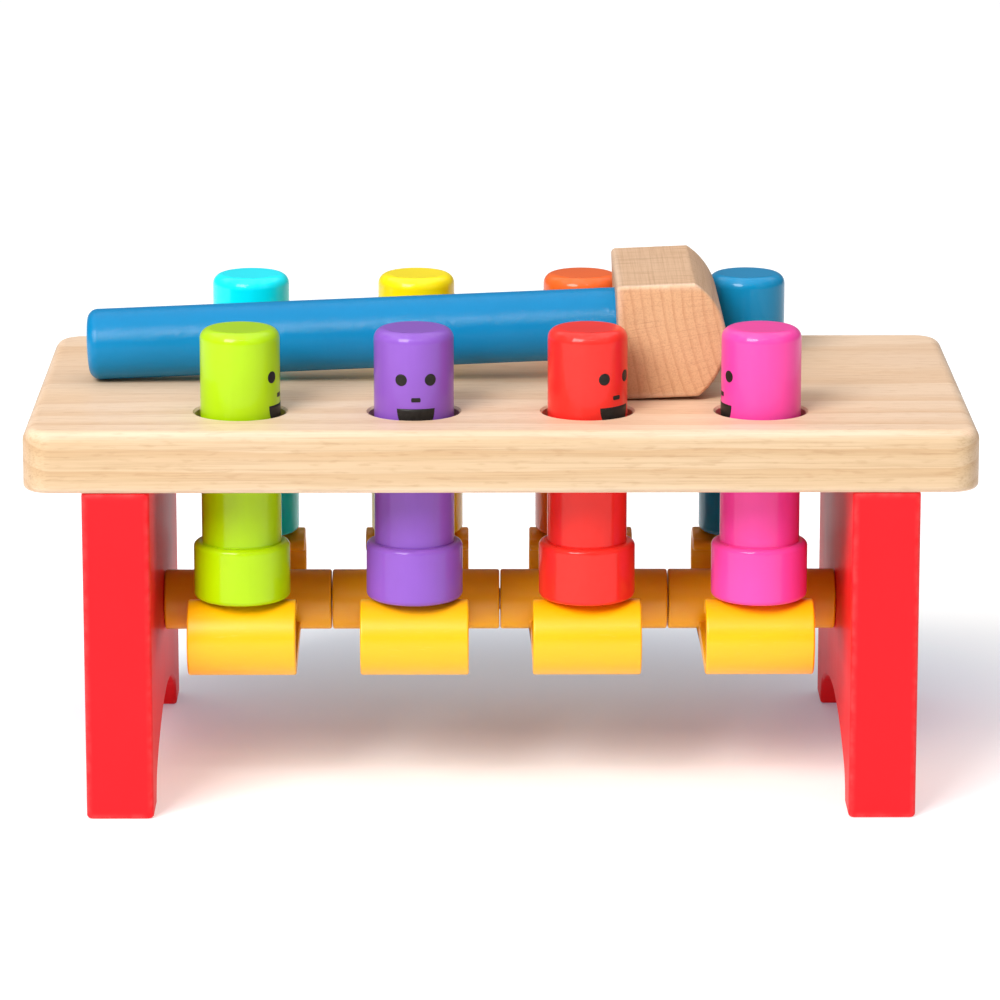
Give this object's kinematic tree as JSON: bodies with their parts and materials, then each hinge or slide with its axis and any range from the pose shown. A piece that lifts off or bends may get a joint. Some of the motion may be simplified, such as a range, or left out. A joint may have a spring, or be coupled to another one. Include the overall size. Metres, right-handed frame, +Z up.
{
  "type": "peg pounding bench",
  "caption": "Wooden pounding bench toy: a board on arched legs holds captive pegs in two rows, paired on see-saw rockers so a peg pounded down lifts its partner; a mallet lies on top.",
  "frame": {"origin": "on the floor under the middle of the board", "axes": "+X along the board, the mallet's head on that side; -Y to the front row of pegs; +Z up"},
  "size_m": [0.26, 0.136, 0.1421],
  "materials": {
    "board_wood": "bare sanded hardwood",
    "leg_red": "satin red paint on wood",
    "dowel_wood": "bare wood",
    "axle_steel": "drawn steel",
    "rocker_yellow": "semi gloss moulded plastic",
    "mallet_wood": "bare sanded hardwood",
    "handle_blue": "satin blue paint on wood",
    "peg_green": "gloss paint on wood",
    "peg_purple": "gloss paint on wood",
    "peg_red": "gloss paint on wood",
    "peg_pink": "gloss paint on wood",
    "peg_cyan": "gloss paint on wood",
    "peg_yellow": "gloss paint on wood",
    "peg_orange": "gloss paint on wood",
    "peg_blue": "gloss paint on wood"
  },
  "bodies": {
    "bench": {"bench_top": "board_wood", "left_leg": "leg_red", "right_leg": "leg_red", "left_leg_dowels": "dowel_wood", "right_leg_dowels": "dowel_wood", "rocker_axle": "axle_steel"},
    "rocker_1": {"rocker_1": "rocker_yellow"},
    "peg_green": {"peg_green": "peg_green"},
    "peg_cyan": {"peg_cyan": "peg_cyan"},
    "rocker_2": {"rocker_2": "rocker_yellow"},
    "peg_purple": {"peg_purple": "peg_purple"},
    "peg_yellow": {"peg_yellow": "peg_yellow"},
    "rocker_3": {"rocker_3": "rocker_yellow"},
    "peg_red": {"peg_red": "peg_red"},
    "peg_orange": {"peg_orange": "peg_orange"},
    "rocker_4": {"rocker_4": "rocker_yellow"},
    "peg_pink": {"peg_pink": "peg_pink"},
    "peg_blue": {"peg_blue": "peg_blue"},
    "mallet": {"mallet_head": "mallet_wood", "mallet_handle": "handle_blue"}
  },
  "joints": [
    {"name": "rocker_1_tilt", "type": "hinge", "parent": "bench", "child": "rocker_1", "pos_m": [-0.07162, 0, 0.0455], "axis": [1, 0, 0], "range_deg": [-26, 26]},
    {"name": "peg_green_slide", "type": "slide", "parent": "bench", "child": "peg_green", "axis": [0, 0, 1], "range_m": [-0.01885, 0.01885]},
    {"name": "peg_cyan_slide", "type": "slide", "parent": "bench", "child": "peg_cyan", "axis": [0, 0, 1], "range_m": [-0.01885, 0.01885]},
    {"name": "rocker_2_tilt", "type": "hinge", "parent": "bench", "child": "rocker_2", "pos_m": [-0.02388, 0, 0.0455], "axis": [1, 0, 0], "range_deg": [-26, 26]},
    {"name": "peg_purple_slide", "type": "slide", "parent": "bench", "child": "peg_purple", "axis": [0, 0, 1], "range_m": [-0.01885, 0.01885]},
    {"name": "peg_yellow_slide", "type": "slide", "parent": "bench", "child": "peg_yellow", "axis": [0, 0, 1], "range_m": [-0.01885, 0.01885]},
    {"name": "rocker_3_tilt", "type": "hinge", "parent": "bench", "child": "rocker_3", "pos_m": [0.02388, 0, 0.0455], "axis": [1, 0, 0], "range_deg": [-26, 26]},
    {"name": "peg_red_slide", "type": "slide", "parent": "bench", "child": "peg_red", "axis": [0, 0, 1], "range_m": [-0.01885, 0.01885]},
    {"name": "peg_orange_slide", "type": "slide", "parent": "bench", "child": "peg_orange", "axis": [0, 0, 1], "range_m": [-0.01885, 0.01885]},
    {"name": "rocker_4_tilt", "type": "hinge", "parent": "bench", "child": "rocker_4", "pos_m": [0.07162, 0, 0.0455], "axis": [1, 0, 0], "range_deg": [-26, 26]},
    {"name": "peg_pink_slide", "type": "slide", "parent": "bench", "child": "peg_pink", "axis": [0, 0, 1], "range_m": [-0.01885, 0.01885]},
    {"name": "peg_blue_slide", "type": "slide", "parent": "bench", "child": "peg_blue", "axis": [0, 0, 1], "range_m": [-0.01885, 0.01885]},
    {"name": "mallet_lift", "type": "slide", "parent": "bench", "child": "mallet", "axis": [0, 0, 1], "range_m": [0, 0.15]}
  ],
  "couplings": [
    {"joint": "peg_green_slide", "follows": "rocker_1_tilt", "m_per_rad": -0.041539},
    {"joint": "peg_cyan_slide", "follows": "rocker_1_tilt", "m_per_rad": 0.041539},
    {"joint": "peg_purple_slide", "follows": "rocker_2_tilt", "m_per_rad": -0.041539},
    {"joint": "peg_yellow_slide", "follows": "rocker_2_tilt", "m_per_rad": 0.041539},
    {"joint": "peg_red_slide", "follows": "rocker_3_tilt", "m_per_rad": -0.041539},
    {"joint": "peg_orange_slide", "follows": "rocker_3_tilt", "m_per_rad": 0.041539},
    {"joint": "peg_pink_slide", "follows": "rocker_4_tilt", "m_per_rad": -0.041539},
    {"joint": "peg_blue_slide", "follows": "rocker_4_tilt", "m_per_rad": 0.041539}
  ]
}
